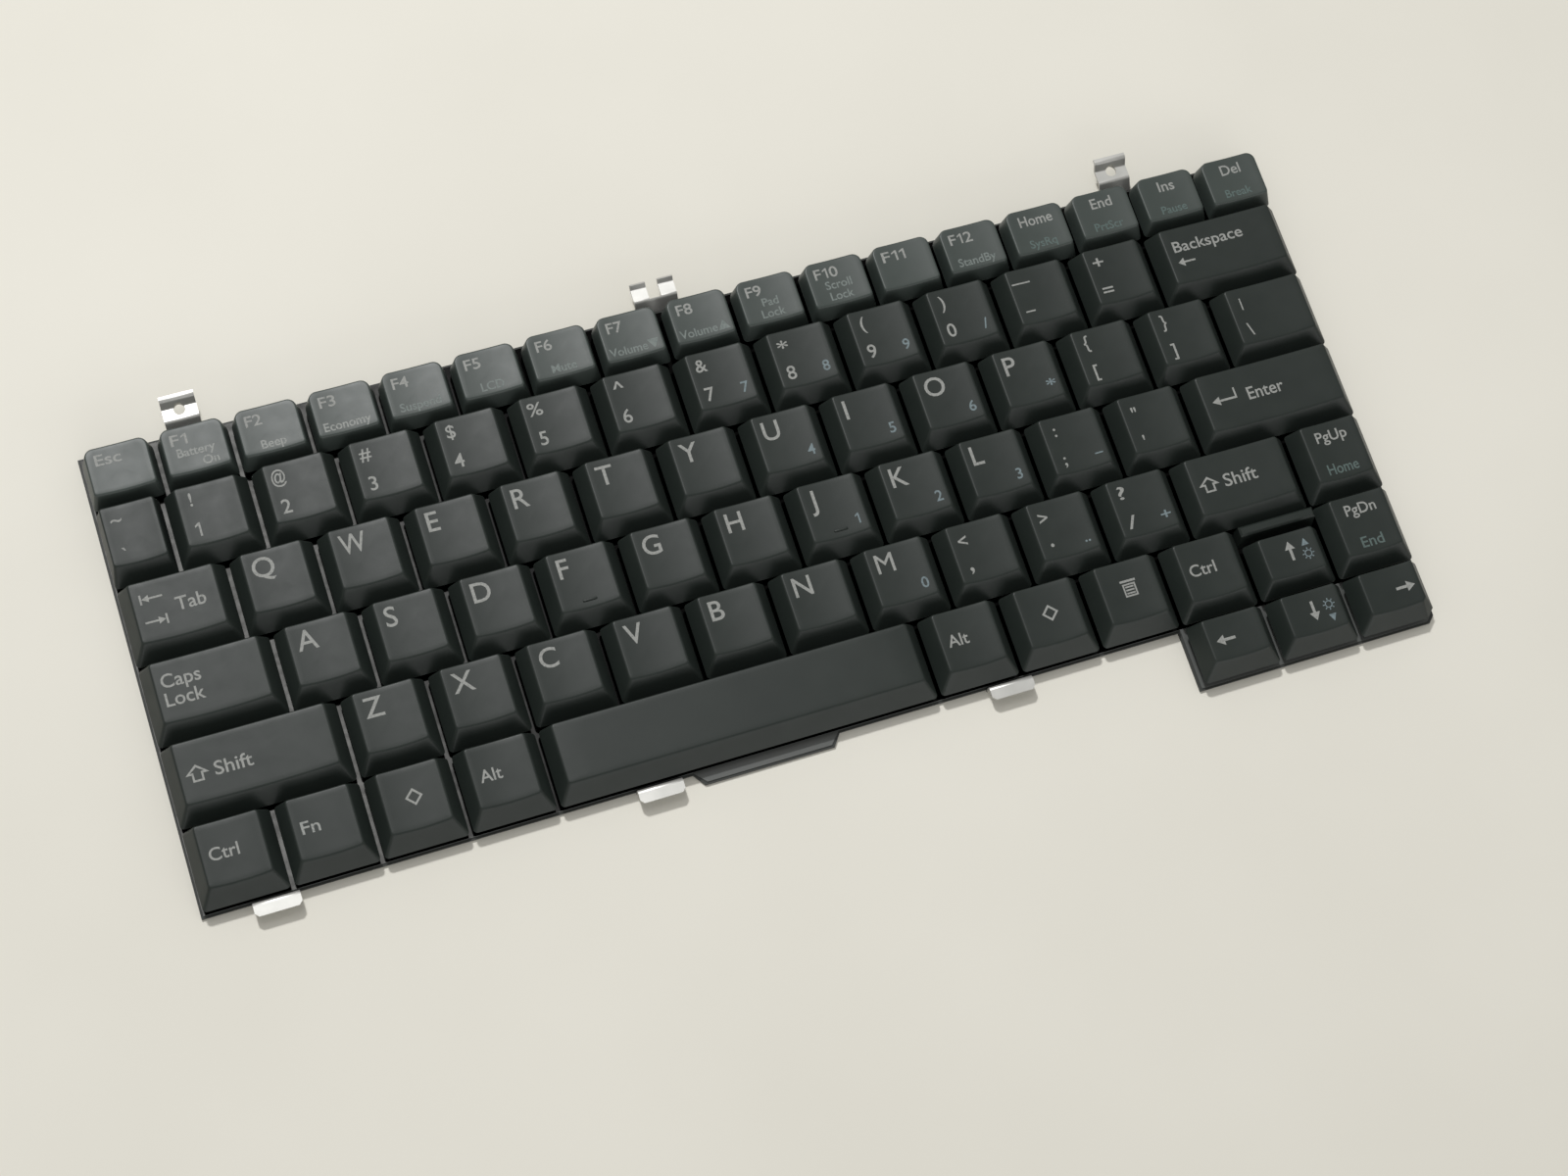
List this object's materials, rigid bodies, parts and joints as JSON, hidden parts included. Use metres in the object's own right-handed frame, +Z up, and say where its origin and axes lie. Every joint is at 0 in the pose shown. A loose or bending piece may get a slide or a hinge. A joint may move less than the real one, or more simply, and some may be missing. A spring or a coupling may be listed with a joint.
{
  "type": "laptop keyboard",
  "caption": "Thin laptop replacement keyboard: dished charcoal key caps on scissor levers and rubber domes over a switch film and a sheet plate with bent tabs.",
  "frame": {"origin": "on the plate's underside, at the centre of the overall box", "axes": "+X along the rows to the right, +Y to the back row, +Z up through the key tops"},
  "size_m": [0.2764, 0.1256, 0.0078],
  "materials": {
    "key_cap": "satin",
    "spacer": "satin",
    "plate": "bare rolled sheet",
    "film": "satin film",
    "dome": "matt silicone",
    "lever": "moulded"
  },
  "bodies": {
    "base": {"base_plate": "plate", "switch_film": "film", "rubber_domes": "dome", "outer_levers": "lever", "inner_levers": "lever", "spacer_bar": "spacer", "function_keys": "key_cap", "modifier_keys": "key_cap", "navigation_keys": "key_cap"},
    "cap_grave": {"key_grave": "key_cap"},
    "cap_1": {"key_1": "key_cap"},
    "cap_2": {"key_2": "key_cap"},
    "cap_3": {"key_3": "key_cap"},
    "cap_4": {"key_4": "key_cap"},
    "cap_5": {"key_5": "key_cap"},
    "cap_6": {"key_6": "key_cap"},
    "cap_7": {"key_7": "key_cap"},
    "cap_8": {"key_8": "key_cap"},
    "cap_9": {"key_9": "key_cap"},
    "cap_0": {"key_0": "key_cap"},
    "cap_minus": {"key_minus": "key_cap"},
    "cap_equals": {"key_equals": "key_cap"},
    "cap_backspace": {"key_backspace": "key_cap"},
    "cap_tab": {"key_tab": "key_cap"},
    "cap_q": {"key_q": "key_cap"},
    "cap_w": {"key_w": "key_cap"},
    "cap_e": {"key_e": "key_cap"},
    "cap_r": {"key_r": "key_cap"},
    "cap_t": {"key_t": "key_cap"},
    "cap_y": {"key_y": "key_cap"},
    "cap_u": {"key_u": "key_cap"},
    "cap_i": {"key_i": "key_cap"},
    "cap_o": {"key_o": "key_cap"},
    "cap_p": {"key_p": "key_cap"},
    "cap_left_bracket": {"key_left_bracket": "key_cap"},
    "cap_right_bracket": {"key_right_bracket": "key_cap"},
    "cap_backslash": {"key_backslash": "key_cap"},
    "cap_a": {"key_a": "key_cap"},
    "cap_s": {"key_s": "key_cap"},
    "cap_d": {"key_d": "key_cap"},
    "cap_f": {"key_f": "key_cap"},
    "cap_g": {"key_g": "key_cap"},
    "cap_h": {"key_h": "key_cap"},
    "cap_j": {"key_j": "key_cap"},
    "cap_k": {"key_k": "key_cap"},
    "cap_l": {"key_l": "key_cap"},
    "cap_semicolon": {"key_semicolon": "key_cap"},
    "cap_quote": {"key_quote": "key_cap"},
    "cap_enter": {"key_enter": "key_cap"},
    "cap_z": {"key_z": "key_cap"},
    "cap_x": {"key_x": "key_cap"},
    "cap_c": {"key_c": "key_cap"},
    "cap_v": {"key_v": "key_cap"},
    "cap_b": {"key_b": "key_cap"},
    "cap_n": {"key_n": "key_cap"},
    "cap_m": {"key_m": "key_cap"},
    "cap_comma": {"key_comma": "key_cap"},
    "cap_period": {"key_period": "key_cap"},
    "cap_slash": {"key_slash": "key_cap"},
    "cap_space": {"key_space": "key_cap"}
  },
  "joints": [
    {"name": "press_grave", "type": "slide", "parent": "base", "child": "cap_grave", "axis": [0, 0, -1], "range_m": [0, 0.0024], "stiffness_N_per_m": 240, "deforming": ["rubber_domes"]},
    {"name": "press_1", "type": "slide", "parent": "base", "child": "cap_1", "axis": [0, 0, -1], "range_m": [0, 0.0024], "stiffness_N_per_m": 240, "deforming": ["rubber_domes"]},
    {"name": "press_2", "type": "slide", "parent": "base", "child": "cap_2", "axis": [0, 0, -1], "range_m": [0, 0.0024], "stiffness_N_per_m": 240, "deforming": ["rubber_domes"]},
    {"name": "press_3", "type": "slide", "parent": "base", "child": "cap_3", "axis": [0, 0, -1], "range_m": [0, 0.0024], "stiffness_N_per_m": 240, "deforming": ["rubber_domes"]},
    {"name": "press_4", "type": "slide", "parent": "base", "child": "cap_4", "axis": [0, 0, -1], "range_m": [0, 0.0024], "stiffness_N_per_m": 240, "deforming": ["rubber_domes"]},
    {"name": "press_5", "type": "slide", "parent": "base", "child": "cap_5", "axis": [0, 0, -1], "range_m": [0, 0.0024], "stiffness_N_per_m": 240, "deforming": ["rubber_domes"]},
    {"name": "press_6", "type": "slide", "parent": "base", "child": "cap_6", "axis": [0, 0, -1], "range_m": [0, 0.0024], "stiffness_N_per_m": 240, "deforming": ["rubber_domes"]},
    {"name": "press_7", "type": "slide", "parent": "base", "child": "cap_7", "axis": [0, 0, -1], "range_m": [0, 0.0024], "stiffness_N_per_m": 240, "deforming": ["rubber_domes"]},
    {"name": "press_8", "type": "slide", "parent": "base", "child": "cap_8", "axis": [0, 0, -1], "range_m": [0, 0.0024], "stiffness_N_per_m": 240, "deforming": ["rubber_domes"]},
    {"name": "press_9", "type": "slide", "parent": "base", "child": "cap_9", "axis": [0, 0, -1], "range_m": [0, 0.0024], "stiffness_N_per_m": 240, "deforming": ["rubber_domes"]},
    {"name": "press_0", "type": "slide", "parent": "base", "child": "cap_0", "axis": [0, 0, -1], "range_m": [0, 0.0024], "stiffness_N_per_m": 240, "deforming": ["rubber_domes"]},
    {"name": "press_minus", "type": "slide", "parent": "base", "child": "cap_minus", "axis": [0, 0, -1], "range_m": [0, 0.0024], "stiffness_N_per_m": 240, "deforming": ["rubber_domes"]},
    {"name": "press_equals", "type": "slide", "parent": "base", "child": "cap_equals", "axis": [0, 0, -1], "range_m": [0, 0.0024], "stiffness_N_per_m": 240, "deforming": ["rubber_domes"]},
    {"name": "press_backspace", "type": "slide", "parent": "base", "child": "cap_backspace", "axis": [0, 0, -1], "range_m": [0, 0.0024], "stiffness_N_per_m": 240, "deforming": ["rubber_domes"]},
    {"name": "press_tab", "type": "slide", "parent": "base", "child": "cap_tab", "axis": [0, 0, -1], "range_m": [0, 0.0024], "stiffness_N_per_m": 240, "deforming": ["rubber_domes"]},
    {"name": "press_q", "type": "slide", "parent": "base", "child": "cap_q", "axis": [0, 0, -1], "range_m": [0, 0.0024], "stiffness_N_per_m": 240, "deforming": ["rubber_domes"]},
    {"name": "press_w", "type": "slide", "parent": "base", "child": "cap_w", "axis": [0, 0, -1], "range_m": [0, 0.0024], "stiffness_N_per_m": 240, "deforming": ["rubber_domes"]},
    {"name": "press_e", "type": "slide", "parent": "base", "child": "cap_e", "axis": [0, 0, -1], "range_m": [0, 0.0024], "stiffness_N_per_m": 240, "deforming": ["rubber_domes"]},
    {"name": "press_r", "type": "slide", "parent": "base", "child": "cap_r", "axis": [0, 0, -1], "range_m": [0, 0.0024], "stiffness_N_per_m": 240, "deforming": ["rubber_domes"]},
    {"name": "press_t", "type": "slide", "parent": "base", "child": "cap_t", "axis": [0, 0, -1], "range_m": [0, 0.0024], "stiffness_N_per_m": 240, "deforming": ["rubber_domes"]},
    {"name": "press_y", "type": "slide", "parent": "base", "child": "cap_y", "axis": [0, 0, -1], "range_m": [0, 0.0024], "stiffness_N_per_m": 240, "deforming": ["rubber_domes"]},
    {"name": "press_u", "type": "slide", "parent": "base", "child": "cap_u", "axis": [0, 0, -1], "range_m": [0, 0.0024], "stiffness_N_per_m": 240, "deforming": ["rubber_domes"]},
    {"name": "press_i", "type": "slide", "parent": "base", "child": "cap_i", "axis": [0, 0, -1], "range_m": [0, 0.0024], "stiffness_N_per_m": 240, "deforming": ["rubber_domes"]},
    {"name": "press_o", "type": "slide", "parent": "base", "child": "cap_o", "axis": [0, 0, -1], "range_m": [0, 0.0024], "stiffness_N_per_m": 240, "deforming": ["rubber_domes"]},
    {"name": "press_p", "type": "slide", "parent": "base", "child": "cap_p", "axis": [0, 0, -1], "range_m": [0, 0.0024], "stiffness_N_per_m": 240, "deforming": ["rubber_domes"]},
    {"name": "press_left_bracket", "type": "slide", "parent": "base", "child": "cap_left_bracket", "axis": [0, 0, -1], "range_m": [0, 0.0024], "stiffness_N_per_m": 240, "deforming": ["rubber_domes"]},
    {"name": "press_right_bracket", "type": "slide", "parent": "base", "child": "cap_right_bracket", "axis": [0, 0, -1], "range_m": [0, 0.0024], "stiffness_N_per_m": 240, "deforming": ["rubber_domes"]},
    {"name": "press_backslash", "type": "slide", "parent": "base", "child": "cap_backslash", "axis": [0, 0, -1], "range_m": [0, 0.0024], "stiffness_N_per_m": 240, "deforming": ["rubber_domes"]},
    {"name": "press_a", "type": "slide", "parent": "base", "child": "cap_a", "axis": [0, 0, -1], "range_m": [0, 0.0024], "stiffness_N_per_m": 240, "deforming": ["rubber_domes"]},
    {"name": "press_s", "type": "slide", "parent": "base", "child": "cap_s", "axis": [0, 0, -1], "range_m": [0, 0.0024], "stiffness_N_per_m": 240, "deforming": ["rubber_domes"]},
    {"name": "press_d", "type": "slide", "parent": "base", "child": "cap_d", "axis": [0, 0, -1], "range_m": [0, 0.0024], "stiffness_N_per_m": 240, "deforming": ["rubber_domes"]},
    {"name": "press_f", "type": "slide", "parent": "base", "child": "cap_f", "axis": [0, 0, -1], "range_m": [0, 0.0024], "stiffness_N_per_m": 240, "deforming": ["rubber_domes"]},
    {"name": "press_g", "type": "slide", "parent": "base", "child": "cap_g", "axis": [0, 0, -1], "range_m": [0, 0.0024], "stiffness_N_per_m": 240, "deforming": ["rubber_domes"]},
    {"name": "press_h", "type": "slide", "parent": "base", "child": "cap_h", "axis": [0, 0, -1], "range_m": [0, 0.0024], "stiffness_N_per_m": 240, "deforming": ["rubber_domes"]},
    {"name": "press_j", "type": "slide", "parent": "base", "child": "cap_j", "axis": [0, 0, -1], "range_m": [0, 0.0024], "stiffness_N_per_m": 240, "deforming": ["rubber_domes"]},
    {"name": "press_k", "type": "slide", "parent": "base", "child": "cap_k", "axis": [0, 0, -1], "range_m": [0, 0.0024], "stiffness_N_per_m": 240, "deforming": ["rubber_domes"]},
    {"name": "press_l", "type": "slide", "parent": "base", "child": "cap_l", "axis": [0, 0, -1], "range_m": [0, 0.0024], "stiffness_N_per_m": 240, "deforming": ["rubber_domes"]},
    {"name": "press_semicolon", "type": "slide", "parent": "base", "child": "cap_semicolon", "axis": [0, 0, -1], "range_m": [0, 0.0024], "stiffness_N_per_m": 240, "deforming": ["rubber_domes"]},
    {"name": "press_quote", "type": "slide", "parent": "base", "child": "cap_quote", "axis": [0, 0, -1], "range_m": [0, 0.0024], "stiffness_N_per_m": 240, "deforming": ["rubber_domes"]},
    {"name": "press_enter", "type": "slide", "parent": "base", "child": "cap_enter", "axis": [0, 0, -1], "range_m": [0, 0.0024], "stiffness_N_per_m": 240, "deforming": ["rubber_domes"]},
    {"name": "press_z", "type": "slide", "parent": "base", "child": "cap_z", "axis": [0, 0, -1], "range_m": [0, 0.0024], "stiffness_N_per_m": 240, "deforming": ["rubber_domes"]},
    {"name": "press_x", "type": "slide", "parent": "base", "child": "cap_x", "axis": [0, 0, -1], "range_m": [0, 0.0024], "stiffness_N_per_m": 240, "deforming": ["rubber_domes"]},
    {"name": "press_c", "type": "slide", "parent": "base", "child": "cap_c", "axis": [0, 0, -1], "range_m": [0, 0.0024], "stiffness_N_per_m": 240, "deforming": ["rubber_domes"]},
    {"name": "press_v", "type": "slide", "parent": "base", "child": "cap_v", "axis": [0, 0, -1], "range_m": [0, 0.0024], "stiffness_N_per_m": 240, "deforming": ["rubber_domes"]},
    {"name": "press_b", "type": "slide", "parent": "base", "child": "cap_b", "axis": [0, 0, -1], "range_m": [0, 0.0024], "stiffness_N_per_m": 240, "deforming": ["rubber_domes"]},
    {"name": "press_n", "type": "slide", "parent": "base", "child": "cap_n", "axis": [0, 0, -1], "range_m": [0, 0.0024], "stiffness_N_per_m": 240, "deforming": ["rubber_domes"]},
    {"name": "press_m", "type": "slide", "parent": "base", "child": "cap_m", "axis": [0, 0, -1], "range_m": [0, 0.0024], "stiffness_N_per_m": 240, "deforming": ["rubber_domes"]},
    {"name": "press_comma", "type": "slide", "parent": "base", "child": "cap_comma", "axis": [0, 0, -1], "range_m": [0, 0.0024], "stiffness_N_per_m": 240, "deforming": ["rubber_domes"]},
    {"name": "press_period", "type": "slide", "parent": "base", "child": "cap_period", "axis": [0, 0, -1], "range_m": [0, 0.0024], "stiffness_N_per_m": 240, "deforming": ["rubber_domes"]},
    {"name": "press_slash", "type": "slide", "parent": "base", "child": "cap_slash", "axis": [0, 0, -1], "range_m": [0, 0.0024], "stiffness_N_per_m": 240, "deforming": ["rubber_domes"]},
    {"name": "press_space", "type": "slide", "parent": "base", "child": "cap_space", "axis": [0, 0, -1], "range_m": [0, 0.0024], "stiffness_N_per_m": 240, "deforming": ["rubber_domes"]}
  ]
}
